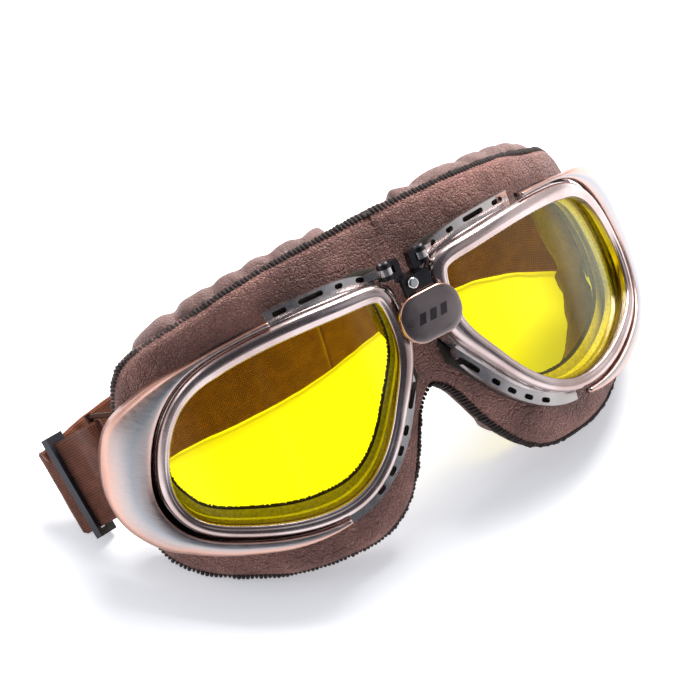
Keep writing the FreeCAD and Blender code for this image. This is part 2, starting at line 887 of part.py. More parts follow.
# The long run of the strap, standing on its lower edge behind the goggles. Each row is a place of
# the lower edge on the ground plan, and how far the width leans back from upright, in degrees.
STRAP_ROUTE = [
    (-88.4, 43.2, 52.0),
    (-83.0, 45.2, 48.0),
    (-75.0, 48.6, 40.0),
    (-66.0, 51.6, 32.0),
    (-54.0, 53.2, 26.0),
    (-36.0, 52.6, 22.0),
    (-18.0, 52.4, 21.0),
    (0.0, 54.2, 21.0),
    (18.0, 58.0, 22.0),
    (36.0, 60.2, 22.0),
    (54.0, 59.6, 24.0),
    (67.0, 56.0, 30.0),
    (76.0, 50.8, 39.0),
    (83.0, 46.2, 48.0),
    (88.4, 43.2, 52.0),
]


def make_rear_strap():
    """Webbing lofted through cross-sections along the route, each leant as its row says."""
    path = Part.BSplineCurve()
    places = [Base.Vector(x, y, 0) for x, y, _ in STRAP_ROUTE]
    path.interpolate(Points=places)
    at = [path.parameter(place) for place in places]
    half_thick = size("StrapThickness") / 2
    steps = 3
    edges = []
    widths = []
    for k in range(len(places) - 1):
        count = steps + 1 if k == len(places) - 2 else steps
        for j in range(count):
            share = j / steps
            lean = math.radians(STRAP_ROUTE[k][2] * (1 - share) + STRAP_ROUTE[k + 1][2] * share)
            ground = path.value(at[k] + (at[k + 1] - at[k]) * share)
            edges.append(Base.Vector(ground.x, ground.y, STRAP_CLEARANCE))
            widths.append(Base.Vector(0, math.sin(lean), math.cos(lean)) * size("StrapWidth"))
    sections = []
    for k, edge in enumerate(edges):
        ahead = edges[min(k + 1, len(edges) - 1)] - edges[max(k - 1, 0)]
        face_way = ahead.cross(widths[k])
        face_way.normalize()
        offset = face_way * half_thick
        corners = [edge - offset, edge + offset, edge + widths[k] + offset, edge + widths[k] - offset]
        sections.append(Part.makePolygon(corners + corners[:1]))
    strap = Part.makeLoft(sections, True, True)
    middles = [edge + width * 0.5 for edge, width in zip(edges, widths)]
    length = sum((b - a).Length for a, b in zip(middles, middles[1:]))
    print("rear strap length", round(length, 1), "volume", round(strap.Volume),
          "section times length", round(length * size("StrapWidth") * size("StrapThickness")))
    standing = FreeCAD.Placement(Base.Vector(0, -size("ForwardShift"), 0), FreeCAD.Rotation())
    add_part("rear_strap", strap, standing)


make_rear_strap()


# ---------------------------------------------------------------- checks and files

doc.recompute()
for item in doc.Objects:
    if "Invalid" in item.State or "Error" in item.State:
        raise RuntimeError("%s failed: %s" % (item.Name, item.State))
for node in NODES:
    if node.Shape.isNull() or not node.Shape.isValid():
        raise RuntimeError("%s has a bad shape" % node.Label)
    if len(node.Shape.Solids) != 1:
        raise RuntimeError("%s has %d solids" % (node.Label, len(node.Shape.Solids)))

os.makedirs("parts", exist_ok=True)
lowest = min(node.Shape.BoundBox.ZMin for node in NODES)
print("nodes", len(NODES), "lowest", round(lowest, 2))
for node in NODES:
    node.Shape.exportStep("parts/%s.step" % node.Label)
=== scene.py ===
"""Motorcycle goggles: metal eye frames, yellow lenses, a padded leather mask and an elastic strap.

Points are worked out in millimetres in one of two upright frames and placed by from_goggles or
from_eye. The goggles' frame has X to the wearer's left, Y back and Z up from the middle of the
bridge. An eye's frame is the same, turned about Z, so that X runs along the eye's own chord.
"""

import math

import bmesh
import bpy
import numpy as np
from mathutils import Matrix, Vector, noise


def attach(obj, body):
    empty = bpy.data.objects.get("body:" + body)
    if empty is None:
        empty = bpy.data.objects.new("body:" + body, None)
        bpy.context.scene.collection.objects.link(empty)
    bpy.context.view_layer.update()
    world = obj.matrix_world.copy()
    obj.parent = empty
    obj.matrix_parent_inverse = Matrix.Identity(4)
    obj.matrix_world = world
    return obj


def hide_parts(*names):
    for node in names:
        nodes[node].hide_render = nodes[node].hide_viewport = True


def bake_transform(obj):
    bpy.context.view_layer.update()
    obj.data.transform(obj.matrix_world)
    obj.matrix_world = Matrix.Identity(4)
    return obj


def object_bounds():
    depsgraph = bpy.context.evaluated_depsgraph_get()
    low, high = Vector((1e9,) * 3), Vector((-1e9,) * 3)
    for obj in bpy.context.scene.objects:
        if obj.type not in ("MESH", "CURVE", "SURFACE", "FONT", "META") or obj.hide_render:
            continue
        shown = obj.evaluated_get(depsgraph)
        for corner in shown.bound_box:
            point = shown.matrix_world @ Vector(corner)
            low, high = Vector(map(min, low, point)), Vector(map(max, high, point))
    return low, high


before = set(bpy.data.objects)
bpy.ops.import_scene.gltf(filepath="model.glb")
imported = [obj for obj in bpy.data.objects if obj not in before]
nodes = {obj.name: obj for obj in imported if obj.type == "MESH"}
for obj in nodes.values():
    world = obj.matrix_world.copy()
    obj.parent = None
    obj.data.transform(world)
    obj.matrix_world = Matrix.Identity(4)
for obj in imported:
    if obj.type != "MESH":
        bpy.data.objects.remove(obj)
cad_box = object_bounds()

MM = 0.001
LEAN = math.radians(37.0)  # how far the goggles lean back
LIFT = 68.9  # from the table up to the middle of the bridge
SHIFT = 27.9  # from the middle of the bridge back to the origin
WRAP = math.radians(18.0)  # how far each eye is turned about the upright axis
RADIUS = 88.0  # of the lenses' front, about an upright axis at x = CENTRE
CENTRE = 48.0
MIDDLE = (46.0, -14.0)  # the middle of an eye, as (x, z)
SIDES = {"left": -1, "right": 1}


# ---------------------------------------------------------------- places

def from_goggles(x, y, z):
    """A point of the goggles' upright frame, in metres where the goggles lie."""
    back = y * math.cos(LEAN) + z * math.sin(LEAN) - SHIFT
    up = z * math.cos(LEAN) - y * math.sin(LEAN) + LIFT
    return Vector((x, back, up)) * MM


def from_eye(side, x, y, z):
    across = x * math.cos(WRAP) - y * math.sin(WRAP)
    back = x * math.sin(WRAP) + y * math.cos(WRAP)
    return from_goggles(side * across, back, z)


def layer(x, depth):
    """How far back the curved layer at this depth lies, in an eye's frame."""
    return RADIUS - math.sqrt(max((RADIUS - depth) ** 2 - (x - CENTRE) ** 2, 4.0))


def on_layer(side, x, depth, z):
    return from_eye(side, x, layer(x, depth), z)


class Outline:
    """A closed smooth curve through points (x, z) of an eye's frame."""

    FINE = 900  # steps round the curve for lengths and even spacing

    def __init__(self, points):
        p = np.array(points, float)
        count = len(p)
        gaps = np.linalg.norm(np.roll(p, -1, 0) - p, axis=1)
        matrix = np.zeros((count, count))
        right = np.zeros((count, 2))
        for i in range(count):
            before, after = gaps[i - 1], gaps[i]
            matrix[i, (i - 1) % count] += before
            matrix[i, i] += 2 * (before + after)
            matrix[i, (i + 1) % count] += after
            rise = (p[(i + 1) % count] - p[i]) / after - (p[i] - p[i - 1]) / before
            right[i] = 6 * rise
        self.bend = np.linalg.solve(matrix, right)
        self.points, self.gaps = p, gaps
        self.knots = np.concatenate([[0.0], np.cumsum(gaps)])
        x, z = p[:, 0], p[:, 1]
        area = np.sum(x * np.roll(z, -1) - np.roll(x, -1) * z)
        self.sign = 1 if area > 0 else -1

    def at(self, share):
        """The place and the outward direction at a share of the way round."""
        u = (share % 1.0) * self.knots[-1]
        i = min(int(np.searchsorted(self.knots, u, side="right")) - 1, len(self.gaps) - 1)
        j = (i + 1) % len(self.points)
        h = self.gaps[i]
        a = (self.knots[i + 1] - u) / h
        b = 1 - a
        p, q, m, n = self.points[i], self.points[j], self.bend[i], self.bend[j]
        place = a * p + b * q + ((a ** 3 - a) * m + (b ** 3 - b) * n) * h * h / 6
        slope = (q - p) / h + ((3 * b * b - 1) * n - (3 * a * a - 1) * m) * h / 6
        out = np.array([slope[1], -slope[0]]) * self.sign / np.linalg.norm(slope)
        return place, out

    def offset(self, share, distance):
        place, out = self.at(share)
        return place + out * distance

    def share_near(self, x, z):
        count = 400
        return min((k / count for k in range(count)),
                   key=lambda t: np.linalg.norm(self.at(t)[0] - (x, z)))

    def even(self, count):
        """Shares whose points are the same distance apart."""
        dense, run = self.walked()
        return [float(np.interp(run[-1] * k / count, run, dense)) for k in range(count)]

    def towards(self, angle):
        """The place where a ray at this angle from the eye's middle leaves the outline."""
        if not hasattr(self, "seen"):
            count = 1200
            places = [self.at(k / count)[0] for k in range(count)]
            turned = sorted((math.atan2(p[1] - MIDDLE[1], p[0] - MIDDLE[0]), p[0], p[1])
                            for p in places)
            table = np.array(turned)
            below, above = table[-1:].copy(), table[:1].copy()
            below[0, 0] -= 2 * math.pi
            above[0, 0] += 2 * math.pi
            self.seen = np.vstack([below, table, above])
        angle = (angle + math.pi) % (2 * math.pi) - math.pi
        return np.array([np.interp(angle, self.seen[:, 0], self.seen[:, 1]),
                         np.interp(angle, self.seen[:, 0], self.seen[:, 2])])

    def walked(self):
        """Closely spaced shares and the distance walked up to each of them."""
        dense = [k / self.FINE for k in range(self.FINE + 1)]
        places = np.array([self.at(t)[0] for t in dense])
        steps = np.linalg.norm(np.diff(places, axis=0), axis=1)
        return dense, np.concatenate([[0.0], np.cumsum(steps)])

    def length(self):
        return float(self.walked()[1][-1])


rim_outline = Outline([
    (11.6, 11.8), (22.0, 14.6), (40.0, 15.4), (58.0, 14.3), (73.0, 10.0), (83.5, 0.5),
    (89.0, -10.5), (90.6, -21.0), (87.0, -30.5), (74.0, -38.0), (53.0, -43.0), (39.0, -41.8),
    (27.0, -34.2), (17.0, -21.0), (10.2, -9.0), (9.0, 3.0),
])
seam_outline = Outline([
    (2.0, 29.0), (13.0, 30.2), (34.0, 29.4), (58.0, 26.0), (76.0, 21.2), (88.0, 16.0),
    (93.0, 6.0), (95.0, -8.0), (96.2, -21.0), (97.0, -33.0), (93.2, -43.3), (80.0, -51.5),
    (62.0, -56.4), (44.0, -57.2), (32.0, -54.8), (24.0, -48.2), (17.0, -37.0), (9.0, -23.5),
    (1.0, -19.5),
])
pad_outline = Outline([
    (4.0, 28.0), (20.0, 30.6), (40.0, 30.2), (60.0, 27.4), (76.0, 22.6), (85.5, 15.0),
    (89.5, 3.0), (89.5, -15.0), (87.5, -28.0), (81.0, -39.5), (68.0, -49.5), (50.0, -54.5),
    (36.0, -53.5), (26.0, -46.5), (17.0, -33.0), (10.0, -20.0), (5.0, -4.0),
])
eye_outline = Outline([
    (15.0, 8.5), (30.0, 10.5), (50.0, 10.0), (66.0, 7.5), (78.0, -2.0), (84.5, -11.0),
    (86.0, -20.5), (82.5, -28.0), (71.0, -34.5), (54.0, -39.0), (41.0, -38.0), (30.5, -31.5),
    (21.0, -19.0), (14.5, -7.0),
])

# The shares of the rim's outline where the side cover's two tips end.
TIP_TOP = rim_outline.share_near(46.0, 15.3)
TIP_BOTTOM = rim_outline.share_near(45.0, -42.8)


# ---------------------------------------------------------------- mesh building

def new_piece(name, points, faces, material, body, uvs=None, smooth=True):
    mesh = bpy.data.meshes.new(name)
    mesh.from_pydata([tuple(p) for p in points], [], faces)
    mesh.validate()
    piece = bpy.data.objects.new(name, mesh)
    bpy.context.collection.objects.link(piece)
    mesh.materials.append(material)
    if uvs is not None:
        map_layer = mesh.uv_layers.new(name="UVMap")
        for loop in mesh.loops:
            map_layer.data[loop.index].uv = uvs[loop.vertex_index]
    if smooth:
        mesh.shade_smooth()
    face_outwards(mesh)
    if body:
        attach(piece, body)
    return piece


def face_outwards(mesh):
    work = bmesh.new()
    work.from_mesh(mesh)
    bmesh.ops.recalc_face_normals(work, faces=work.faces)
    work.to_mesh(mesh)
    work.free()


def grid_faces(rows, across, closed_rows, closed_across):
    """Quads over rows of points, each row as long as across; a tube's open ends are capped."""
    faces = []
    for r in range(rows if closed_rows else rows - 1):
        for k in range(across if closed_across else across - 1):
            a = r * across + k
            b = r * across + (k + 1) % across
            c = ((r + 1) % rows) * across + (k + 1) % across
            d = ((r + 1) % rows) * across + k
            faces.append((a, b, c, d))
    if closed_across and not closed_rows:
        faces.append(tuple(range(across)))
        faces.append(tuple((rows - 1) * across + k for k in reversed(range(across))))
    return faces


def sweep(name, side, outline, shares, section, closed, material, body):
    """A section of (offset, depth) pairs carried along the outline in the curved layers."""
    points = []
    uvs = []
    count = len(shares)
    for k, share in enumerate(shares):
        way = k / count if closed else k / (count - 1)
        pairs = section(way)
        for n, (distance, depth) in enumerate(pairs):
            x, z = outline.offset(share, distance)
            points.append(on_layer(side, x, depth, z))
            uvs.append((way, n / len(pairs)))
    faces = grid_faces(count, len(pairs), closed, True)
    return new_piece(name, points, faces, material, body, uvs)


# ---------------------------------------------------------------- materials

def material_with(name, **sockets):
    made = bpy.data.materials.new(name)
    made.use_nodes = True
    shader = made.node_tree.nodes["Principled BSDF"]
    for socket, value in sockets.items():
        shader.inputs[socket.replace("_", " ")].default_value = value
    return made, made.node_tree, shader


def add_node(tree, kind, links=(), **settings):
    """A node with these links in; a setting is a socket's value, or else a property."""
    node = tree.nodes.new(kind)
    for key, value in settings.items():
        socket = key.replace("_", " ")
        if socket in node.inputs:
            node.inputs[socket].default_value = value
        else:
            setattr(node, key, value)
    for socket, source in links:
        tree.links.new(source, node.inputs[socket])
    return node


def clouds(tree, where, scale, detail=2.0, output="Fac"):
    """Soft noise over the places given."""
    node = add_node(tree, "ShaderNodeTexNoise", [("Vector", where)], Scale=scale, Detail=detail)
    return node.outputs[output]


def combined(tree, operation, first, second):
    node = add_node(tree, "ShaderNodeMath", [(0, first), (1, second)], operation=operation)
    return node.outputs["Value"]


def feed(tree, node, **sources):
    """Links each source to the node's socket of that name."""
    for socket, source in sources.items():
        tree.links.new(source, node.inputs[socket.replace("_", " ")])


def coordinates(tree, scale=(1, 1, 1), kind="Object", turn=(0, 0, 0)):
    source = add_node(tree, "ShaderNodeTexCoord")
    mapping = add_node(tree, "ShaderNodeMapping", [("Vector", source.outputs[kind])],
                       Scale=scale, Rotation=turn)
    return mapping.outputs["Vector"]


def ramp(tree, source, stops):
    node = add_node(tree, "ShaderNodeValToRGB", [("Fac", source)])
    elements = node.color_ramp.elements
    while len(elements) < len(stops):
        elements.new(0.5)
    for element, (place, colour) in zip(elements, stops):
        element.position = place
        element.color = (*colour, 1)
    return node.outputs["Color"]


def span(tree, source, low, high, to_low, to_high):
    node = add_node(tree, "ShaderNodeMapRange", [("Value", source)],
                    From_Min=low, From_Max=high, To_Min=to_low, To_Max=to_high)
    return node.outputs["Result"]


def bump(tree, shader, height, strength, distance):
    node = add_node(tree, "ShaderNodeBump", [("Height", height)],
                    Strength=strength, Distance=distance)
    tree.links.new(node.outputs["Normal"], shader.inputs["Normal"])


def multiplied(tree, colour, darkening, amount):
    """A colour darkened by a second one, by this much."""
    mix = add_node(tree, "ShaderNodeMix", data_type="RGBA", blend_type="MULTIPLY",
                   Factor=amount)
    feed(tree, mix, A=colour, B=darkening)
    return mix.outputs["Result"]


def metal(name, light, dark, rough, stretch=(1, 1, 1), scale=400, grain=0.05):
    """Plated metal with fine scratches and slow patches of a second tone."""
    made, tree, shader = material_with(name, Metallic=1.0, Roughness=rough)
    fine = clouds(tree, coordinates(tree, stretch), scale, 4.0)
    broad = clouds(tree, coordinates(tree), 55.0)
    feed(tree, shader, Base_Color=ramp(tree, broad, [(0.38, dark), (0.62, light)]),
         Roughness=span(tree, fine, 0.3, 0.7, rough * 0.8, rough * 1.25))
    bump(tree, shader, fine, grain, 0.0002)
    return made


def cover_metal():
    """Brushed copper: silvery grey in the middle of the plate, rosy near every edge."""
    made, tree, shader = material_with("brushed_copper", Metallic=1.0, Roughness=0.34)
    uv = coordinates(tree, kind="UV")
    split = add_node(tree, "ShaderNodeSeparateXYZ", [("Vector", uv)])
    across = split.outputs["Y"]
    drift = span(tree, clouds(tree, coordinates(tree), 38.0, 3.0), 0.3, 0.7, -0.05, 0.05)
    tone = ramp(tree, combined(tree, "ADD", across, drift), [
        (0.02, (0.74, 0.44, 0.36)),
        (0.12, (0.72, 0.48, 0.42)),
        (0.19, (0.52, 0.45, 0.44)),
        (0.32, (0.38, 0.39, 0.42)),
        (0.45, (0.52, 0.45, 0.44)),
        (0.53, (0.60, 0.44, 0.40)),
        (0.62, (0.70, 0.42, 0.34)),
        (0.75, (0.42, 0.21, 0.16)),
    ])
    streaks = clouds(tree, coordinates(tree, (160, 420, 2400), turn=(0.64, 0.1, 0)), 1.0, 3.0)
    dull = ramp(tree, streaks, [(0.35, (0.74, 0.74, 0.74)), (0.62, (1, 1, 1))])
    feed(tree, shader, Base_Color=multiplied(tree, tone, dull, 0.4),
         Roughness=span(tree, streaks, 0.3, 0.7, 0.27, 0.42))
    bump(tree, shader, streaks, 0.06, 0.0001)
    return made


def leather(name, light, dark, pebble, depth):
    """Pebble-grained leather: small rounded cells with darker creases and a soft shine."""
    made, tree, shader = material_with(name, Roughness=0.48, Specular_IOR_Level=0.42)
    where = coordinates(tree)
    bent = add_node(tree, "ShaderNodeMix", data_type="RGBA", blend_type="LINEAR_LIGHT",
                    Factor=0.0012)
    feed(tree, bent, A=where, B=clouds(tree, where, pebble * 0.4, output="Color"))
    cells = add_node(tree, "ShaderNodeTexVoronoi", [("Vector", bent.outputs["Result"])],
                     Scale=pebble, feature="DISTANCE_TO_EDGE")
    raised = span(tree, cells.outputs["Distance"], 0.0, 0.22, 0.0, 1.0)
    base = ramp(tree, clouds(tree, where, 70.0, 4.0), [(0.35, dark), (0.65, light)])
    creases = ramp(tree, raised, [(0.0, (0.55, 0.5, 0.5)), (0.5, (1, 1, 1))])
    feed(tree, shader, Base_Color=multiplied(tree, base, creases, 0.6),
         Roughness=span(tree, raised, 0.0, 1.0, 0.62, 0.42))
    folds = add_node(tree, "ShaderNodeTexVoronoi", [("Vector", bent.outputs["Result"])],
                     Scale=pebble * 0.27, feature="DISTANCE_TO_EDGE")
    grain = combined(tree, "ADD", clouds(tree, where, 2600.0),
                     span(tree, folds.outputs["Distance"], 0.0, 0.09, 0.0, 1.3))
    bump(tree, shader, combined(tree, "ADD", raised, grain), depth, 0.0004)
    return made


def webbing(name, light, dark):
    """Elastic: fine ribs across the band and the thread's own weave along them, by the UV map."""
    made, tree, shader = material_with(name, Roughness=0.85, Specular_IOR_Level=0.2,
                                       Sheen_Weight=0.25)
    uv = coordinates(tree, kind="UV")
    ribs = add_node(tree, "ShaderNodeTexWave", [("Vector", uv)], Scale=540.0,
                    bands_direction="X", wave_type="BANDS", Distortion=0.6, Detail_Scale=40.0)
    threads = add_node(tree, "ShaderNodeTexWave", [("Vector", uv)], Scale=430.0,
                       bands_direction="Y", wave_type="BANDS", Distortion=1.2)
    weave = combined(tree, "MULTIPLY", ribs.outputs["Fac"], threads.outputs["Fac"])
    patches = span(tree, clouds(tree, coordinates(tree), 260.0, 3.0), 0.3, 0.7, -0.25, 0.25)
    tone = combined(tree, "ADD", weave, patches)
    feed(tree, shader, Base_Color=ramp(tree, tone, [(0.0, dark), (0.7, light)]))
    bump(tree, shader, weave, 0.5, 0.0003)
    return made


def plain(name, colour, rough, scale, strength, coat=0.0):
    """Moulded or cut material with a slight grain and a little change of tone."""
    made, tree, shader = material_with(name, Roughness=rough, Coat_Weight=coat)
    grain = clouds(tree, coordinates(tree), scale, 3.0)
    darker = tuple(c * 0.7 for c in colour)
    feed(tree, shader, Base_Color=ramp(tree, grain, [(0.35, darker), (0.65, colour)]),
         Roughness=span(tree, grain, 0.3, 0.7, rough * 0.85, rough * 1.15))
    bump(tree, shader, grain, strength, 0.0002)
    return made


def lens_yellow():
    """Tinted clear plastic: it filters what is seen through it and mirrors the lights."""
    made = bpy.data.materials.new("lens_yellow")
    made.use_nodes = True
    tree = made.node_tree
    tree.nodes.clear()
    tint = add_node(tree, "ShaderNodeBsdfTransparent", Color=(1.0, 0.945, 0.05, 1))
    shine = add_node(tree, "ShaderNodeBsdfGlossy", Color=(1.0, 0.98, 0.72, 1), Roughness=0.04)
    bump(tree, shine, clouds(tree, coordinates(tree), 30.0), 0.05, 0.0005)
    edge = add_node(tree, "ShaderNodeFresnel", IOR=1.5)
    facing = add_node(tree, "ShaderNodeNewGeometry")
    outer = span(tree, facing.outputs["Backfacing"], 0.0, 1.0, 1.0, 0.0)
    mirrored = combined(tree, "MULTIPLY", edge.outputs["Fac"], outer)
    mix = add_node(tree, "ShaderNodeMixShader", [
        ("Fac", mirrored), (1, tint.outputs["BSDF"]), (2, shine.outputs["BSDF"])])
    add_node(tree, "ShaderNodeOutputMaterial", [("Surface", mix.outputs["Shader"])])
    return made


ROSE_STEEL = metal("polished_rose_steel", (0.62, 0.51, 0.50), (0.44, 0.33, 0.31), 0.22,
                   grain=0.02)
GUNMETAL = metal("polished_gunmetal", (0.80, 0.75, 0.74), (0.50, 0.46, 0.46), 0.22)
BRONZE = metal("brushed_bronze", (0.24, 0.20, 0.20), (0.15, 0.12, 0.12), 0.32,
               stretch=(0.2, 1, 1), scale=1500, grain=0.15)
COPPER_EDGE = metal("copper_edge", (0.62, 0.36, 0.27), (0.48, 0.27, 0.20), 0.24)
DARK_STEEL = metal("blackened_steel", (0.07, 0.065, 0.07), (0.03, 0.03, 0.035), 0.28)
BROWN_STEEL = metal("browned_steel", (0.10, 0.05, 0.038), (0.06, 0.03, 0.024), 0.5)
STEEL = metal("bright_steel", (0.70, 0.69, 0.70), (0.5, 0.49, 0.5), 0.2)
COPPER = cover_metal()
BLACK = plain("gloss_black", (0.012, 0.011, 0.012), 0.12, 900, 0.03, coat=0.6)
# Near black: the foam's ragged cut edge, and also the painted shade behind the vent slots.
FOAM_EDGE_AND_SLOT_SHADE = plain("foam_edge_and_slot_shade", (0.035, 0.028, 0.02), 0.95, 2600, 1.0)
FOAM_FACE = plain("foam_face", (0.95, 0.93, 0.85), 0.5, 1300, 0.4)
SLIDER = plain("slider_plastic", (0.018, 0.020, 0.032), 0.34, 1400, 0.25)
THREAD = plain("seam_thread", (0.034, 0.020, 0.018), 0.7, 5200, 0.6)
LEATHER = leather("pebbled_leather", (0.440, 0.212, 0.176), (0.235, 0.110, 0.091), 1000, 0.75)
LINING = leather("lining_leather", (0.25, 0.140, 0.125), (0.17, 0.090, 0.078), 980, 0.35)
WEB = webbing("strap_elastic", (0.25, 0.078, 0.040), (0.105, 0.032, 0.018))
# The same elastic as WEB, painted lighter: painted light on the rear run seen through the lenses.
LIT_REAR_WEB = webbing("rear_elastic_painted_light", (0.40, 0.145, 0.075), (0.20, 0.066, 0.036))
YELLOW = lens_yellow()


def paint(node, material):
    slots = nodes[node].material_slots
    if len(slots) == 0:
        nodes[node].data.materials.append(material)
    for item in slots:
        item.material = material


def soften(node, width, angle=35.0):
    """Takes the sharpness off a machined part's edges that are sharper than the angle."""
    modifier = nodes[node].modifiers.new("SoftEdges", "BEVEL")
    modifier.width = width * MM
    modifier.segments = 2
    modifier.limit_method = "ANGLE"
    modifier.angle_limit = math.radians(angle)


# ---------------------------------------------------------------- eye frames

# Rows of (distance out from the outline, depth behind the front layer), in millimetres, as in
# every section here.
RIM_SECTION = [
    (-0.05, 3.95), (0.0, 2.6), (-0.08, 1.7), (-0.35, 0.95), (-0.85, 0.4), (-1.5, 0.12),
    (-2.3, 0.02), (-3.0, 0.06), (-3.5, 0.2), (-3.75, 0.5), (-4.0, 0.58), (-4.6, 0.78),
    (-5.0, 1.15), (-5.18, 1.8), (-5.2, 2.8), (-5.15, 3.95),
]


def clamped(value):
    return min(1.0, max(0.0, value))


def nearest(shares, way):
    """The row of a closed sweep that is at this share of its way."""
    return shares[min(int(way * len(shares) + 0.5), len(shares) - 1)]


def make_rim(name, side):
    shares = rim_outline.even(220)

    def section(way):
        """The rim is narrower towards the temple and along the bottom."""
        x, z = rim_outline.at(nearest(shares, way))[0]
        narrow = max(clamped((-6.0 - z) / 20.0), clamped((x - 66.0) / 14.0))
        return [(u * (1.0 - 0.25 * narrow), v) for u, v in RIM_SECTION]

    rim = sweep(name + "_rim_ring", side, rim_outline, shares, section, True, ROSE_STEEL,
                name + "_eye")
    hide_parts(name + "_rim")


# Width of the side cover from its outer edge to the rim's edge, at shares of the way from its
# upper tip to its lower tip.
COVER_EDGE = [
    (0.0, 1.9), (0.12, 1.8), (0.21, 3.1), (0.31, 8.5), (0.385, 13.4), (0.47, 14.1),
    (0.55, 13.2), (0.61, 9.8), (0.66, 6.6), (0.75, 5.0), (0.88, 3.8), (1.0, 1.9),
]


def cover_inner(way):
    """The black channel is widest at the lower outer corner."""
    corner = math.exp(-(((way - 0.57) / 0.09) ** 2))
    return 0.6 + 0.5 * math.sin(math.pi * way) + 0.7 * corner


def cover_outer(way):
    """The cover's outer edge, smoothly through COVER_EDGE."""
    rows = COVER_EDGE
    k = max(i for i in range(len(rows) - 1) if rows[i][0] <= max(way, 0.0))
    start, end = rows[k], rows[k + 1]
    before = rows[max(k - 1, 0)]
    after = rows[min(k + 2, len(rows) - 1)]
    run = end[0] - start[0]
    slope_in = (end[1] - before[1]) / (end[0] - before[0])
    slope_out = (after[1] - start[1]) / (after[0] - start[0])
    t = (way - start[0]) / run
    return (start[1] * (1 + 2 * t) * (1 - t) ** 2 + end[1] * t * t * (3 - 2 * t)
            + run * slope_in * t * (1 - t) ** 2 - run * slope_out * t * t * (1 - t))


def cover_section(way):
    """Across the front from the inner edge, over the turned-down outer edge and back inside."""
    way = min(max(way, 0.0), 1.0)
    inner, outer = cover_inner(way), cover_outer(way)
    wide = outer - inner
    crown = 0.075 * max(wide - 2.0, 0.0)
    skirt = 2.2 + 3.0 * min(1.0, max(wide - 1.5, 0.0) / 4.0)
    soft = min(0.35, wide * 0.25)
    turn = min(2.2, wide * 0.4)
    section = [
        (inner, 2.2), (inner, 0.9), (inner + 0.1 * soft, 0.45), (inner + soft, 0.12),
    ]
    for k in range(1, 8):
        share = k / 8
        u = inner + soft + (wide - soft - turn) * share
        section.append((u, 0.1 - crown * math.sin(math.pi * share) ** 0.8))
    for k in range(6):
        angle = math.pi / 2 * k / 5
        section.append((outer - turn + turn * math.sin(angle),
                        0.1 + turn * 0.9 * (1 - math.cos(angle))))
    wall = min(1.3, wide * 0.45)
    section += [(outer, skirt), (outer - wall, skirt), (outer - wall, 2.2)]
    return section


def make_cover(name, side):
    count = 150
    shares = [TIP_TOP + (TIP_BOTTOM - TIP_TOP) * k / (count - 1) for k in range(count)]
    cover = sweep(name + "_cover_shell", side, rim_outline, shares, cover_section, False, COPPER,
                  name + "_eye")
    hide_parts(name + "_side_cover")


def make_gasket_edge(name, side):
    """The foam behind the lens, seen through it: a smooth face with a ragged dark cut edge."""
    shares = rim_outline.even(1100)

    def section(way):
        x, z = rim_outline.at(nearest(shares, way))[0]
        low = clamped((-12.0 - z) / 18.0)
        nose = 0.5 * clamped((34.0 - x) / 14.0)
        line = 4.9 + 1.9 * max(low * low * (3 - 2 * low) * min(1.0, x / 48.0), nose)
        line += 0.35 * noise.noise(Vector((way * 14.0, 2.0, side)))
        rough = 0.55 * noise.noise(Vector((way * 330.0, 5.0, side)))
        return [(-1.7, 11.2), (-3.4, 11.2), (-line + 0.65, 11.15), (-line - rough, 11.3),
                (-line - 0.1 - rough, 12.2), (-1.7, 12.7)]

    edge = sweep(name + "_foam_edge", side, rim_outline, shares, section, True, FOAM_FACE,
                 name + "_eye")
    edge.data.materials.append(FOAM_EDGE_AND_SLOT_SHADE)
    for polygon in edge.data.polygons:
        if polygon.index % 6 in (2, 3, 4):  # of the section's six sides, those at the cut edge
            polygon.material_index = 1


# A near-black sheet behind the vent frame's air slots, as painted shade inside them.
SLOT_SHADE_SECTION = [(0.4, 7.7), (3.3, 7.7), (3.4, 8.6), (0.4, 9.4)]
SLOT_SHADE_FROM_MIDDLE = 5.0  # leaves the two sides room to fold


def make_slot_shade(name, side):
    """A near-black sheet behind the air slots of the vent frame: painted shade inside the slots.
    """
    start, end = TIP_BOTTOM + 0.012, TIP_TOP + 0.988
    count = 120
    shares = [start + (end - start) * k / (count - 1) for k in range(count)]
    shade_sheet = sweep(name + "_slot_shade_sheet", side, rim_outline, shares,
                   lambda way: SLOT_SHADE_SECTION, False, FOAM_EDGE_AND_SLOT_SHADE, name + "_eye")
    for vertex in shade_sheet.data.vertices:
        vertex.co.x = side * max(vertex.co.x * side, SLOT_SHADE_FROM_MIDDLE * MM)


EYE_MATERIALS = {
    "lens": YELLOW, "gasket": FOAM_FACE, "vent_frame": GUNMETAL, "channel_trim": BLACK,
    "strap_bar": BROWN_STEEL, "slider": SLIDER, "hinge_pin": STEEL,
}

for eye, way_out in SIDES.items():
    make_rim(eye, way_out)
    make_cover(eye, way_out)
    make_gasket_edge(eye, way_out)
    make_slot_shade(eye, way_out)
    for part, made_of in EYE_MATERIALS.items():
        paint(eye + "_" + part, made_of)
    soften(eye + "_slider", 0.45)
    soften(eye + "_vent_frame", 0.22, 50.0)


# ---------------------------------------------------------------- bridge

paint("bridge_bracket", DARK_STEEL)
paint("bridge_screw", STEEL)
soften("bridge_bracket", 0.25)
soften("bridge_screw", 0.2)


PLATE_HALF_WIDTH = 10.0


def plate_sag(x):
    """How far back the plate curves away from its middle."""
    return 0.35 * (x / PLATE_HALF_WIDTH) ** 2


